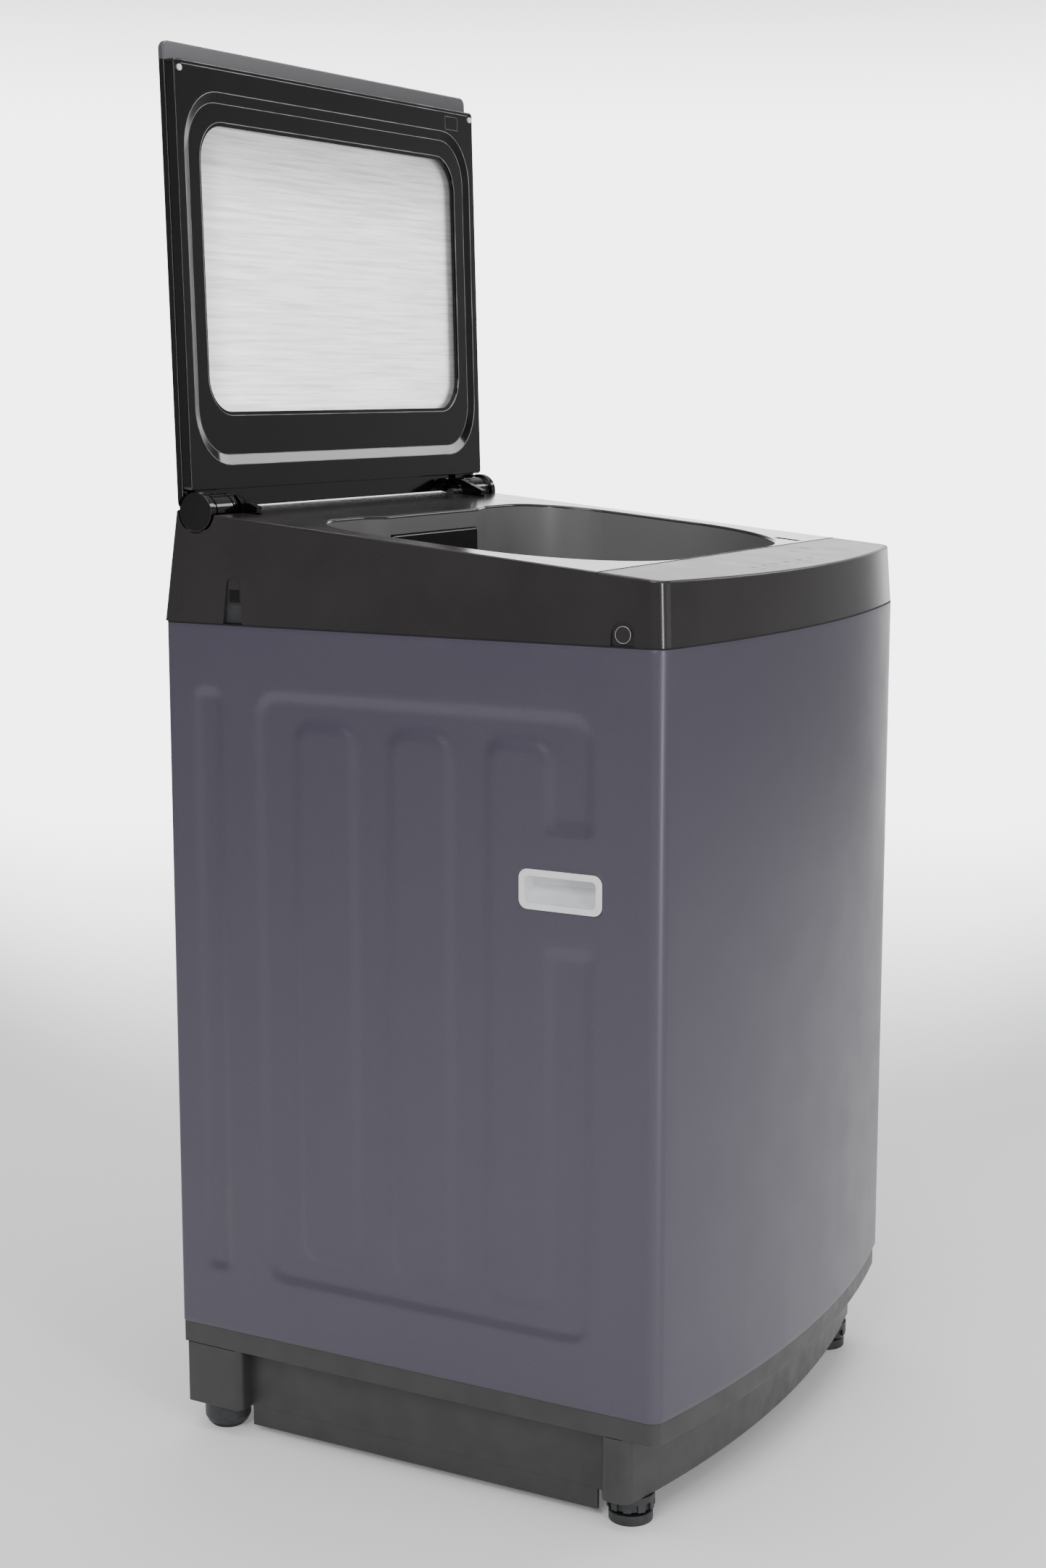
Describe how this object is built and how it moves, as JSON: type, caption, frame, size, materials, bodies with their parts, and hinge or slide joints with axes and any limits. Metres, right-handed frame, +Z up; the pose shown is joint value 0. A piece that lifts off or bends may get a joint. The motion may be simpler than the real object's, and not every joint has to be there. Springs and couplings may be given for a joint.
{
  "type": "top load washing machine",
  "caption": "Top load washing machine with a bowed front, embossed sides, sloping deck with control panel, hinged windowed lid and a suspended tub with basket and pulsator.",
  "frame": {"origin": "middle of the footprint, on the floor under the feet", "axes": "+Z up, -Y towards the bowed front with the control panel, +X to the right seen from the front"},
  "size_m": [0.603, 0.6089, 1.4685],
  "materials": {
    "cabinet_paint": "satin slate grey baked enamel on steel sheet",
    "galvanised_steel": "zinc coated sheet, matt",
    "base_plastic": "moulded polypropylene, fine grain",
    "cover_plastic": "glossy charcoal ABS",
    "panel_plastic": "hard coated panel film",
    "lid_plastic": "polished black ABS",
    "lid_glass": "toughened glass with a fine lined white print behind",
    "handle_plastic": "light grey moulding",
    "bumper_rubber": "white soft bumper",
    "foot_rubber": "black moulded rubber",
    "foot_plastic": "dark grey glass filled nylon",
    "tub_plastic": "pale polypropylene",
    "stainless": "bright stainless sheet",
    "shaft_steel": "ground steel",
    "pulsator_plastic": "silver grey moulding",
    "cast_aluminium": "as cast",
    "motor_steel": "black stove enamel over laminated steel",
    "belt_rubber": "black vee belt",
    "board_laminate": "green solder mask",
    "valve_plastic": "white nylon"
  },
  "bodies": {
    "machine_body": {"cabinet": "cabinet_paint", "rear_cover": "galvanised_steel", "rear_cover_screws": "shaft_steel", "side_handle_left": "handle_plastic", "side_handle_right": "handle_plastic", "base": "base_plastic", "front_foot_nuts": "foot_plastic", "rear_foot_cups": "foot_plastic", "rear_foot_pads": "foot_rubber", "top_cover": "cover_plastic", "control_panel": "panel_plastic", "screw_caps": "cover_plastic", "control_tray": "valve_plastic", "control_board": "board_laminate", "lid_lock": "valve_plastic", "hinge_pins": "shaft_steel", "dispenser_housing": "tub_plastic", "inlet_valve": "valve_plastic", "drain_outlet": "foot_plastic", "suspension_brackets": "galvanised_steel", "suspension_rods": "shaft_steel", "suspension_springs": "shaft_steel"},
    "lid": {"lid_cover": "lid_plastic", "lid_frame": "lid_plastic", "lid_window": "lid_glass", "lid_hinge_left": "lid_plastic", "lid_hinge_right": "lid_plastic", "hinge_caps": "lid_plastic", "lid_bumpers": "bumper_rubber"},
    "drawer": {"detergent_drawer": "lid_plastic"},
    "left_foot": {"front_foot_left": "foot_plastic"},
    "right_foot": {"front_foot_right": "foot_plastic"},
    "tub_unit": {"tub": "tub_plastic", "tub_ring": "tub_plastic", "support_plate": "galvanised_steel", "gearbox": "cast_aluminium", "bearings": "shaft_steel", "shaft_seal": "foot_rubber", "motor": "motor_steel", "capacitor": "cast_aluminium", "drain_pump": "valve_plastic", "drive_belt": "belt_rubber"},
    "basket_unit": {"basket": "stainless", "basket_floor": "tub_plastic", "basket_hub": "cast_aluminium", "balance_ring": "tub_plastic", "lint_filter": "tub_plastic", "spin_tube": "shaft_steel"},
    "pulsator_unit": {"pulsator": "pulsator_plastic", "pulsator_screw": "stainless", "wash_shaft": "shaft_steel", "drive_pulley": "cast_aluminium"},
    "motor_rotor": {"motor_pulley": "cast_aluminium"},
    "pump_rotor": {"pump_impeller": "foot_plastic"}
  },
  "joints": [
    {"name": "lid_hinge", "type": "hinge", "parent": "machine_body", "child": "lid", "pos_m": [0, 0.2655, 0.999], "axis": [1, 0, 0], "range_deg": [0, 96.85]},
    {"name": "drawer_slide", "type": "slide", "parent": "machine_body", "child": "drawer", "axis": [0, -1, 0], "range_m": [0, 0.07]},
    {"name": "left_foot_screw", "type": "slide", "parent": "machine_body", "child": "left_foot", "axis": [0, 0, -1], "range_m": [0, 0.012]},
    {"name": "right_foot_screw", "type": "slide", "parent": "machine_body", "child": "right_foot", "axis": [0, 0, -1], "range_m": [0, 0.012]},
    {"name": "tub_float", "type": "slide", "parent": "machine_body", "child": "tub_unit", "axis": [0, 0, 1], "range_m": [-0.018, 0.006], "stiffness_N_per_m": 8000, "springref_m": 0.03669, "deforming": ["suspension_springs"]},
    {"name": "basket_spin", "type": "hinge", "parent": "tub_unit", "child": "basket_unit", "pos_m": [0, 0, 0.3], "axis": [0, 0, 1], "continuous": true},
    {"name": "pulsator_spin", "type": "hinge", "parent": "tub_unit", "child": "pulsator_unit", "pos_m": [0, 0, 0.3], "axis": [0, 0, 1], "continuous": true},
    {"name": "motor_spin", "type": "hinge", "parent": "tub_unit", "child": "motor_rotor", "pos_m": [0, 0.155, 0.2], "axis": [0, 0, 1], "continuous": true},
    {"name": "pump_spin", "type": "hinge", "parent": "tub_unit", "child": "pump_rotor", "pos_m": [-0.136, -0.0995, 0.22], "axis": [0, 0, 1], "continuous": true}
  ],
  "couplings": [
    {"joint": "motor_spin", "follows": "pulsator_spin", "ratio": 4}
  ]
}
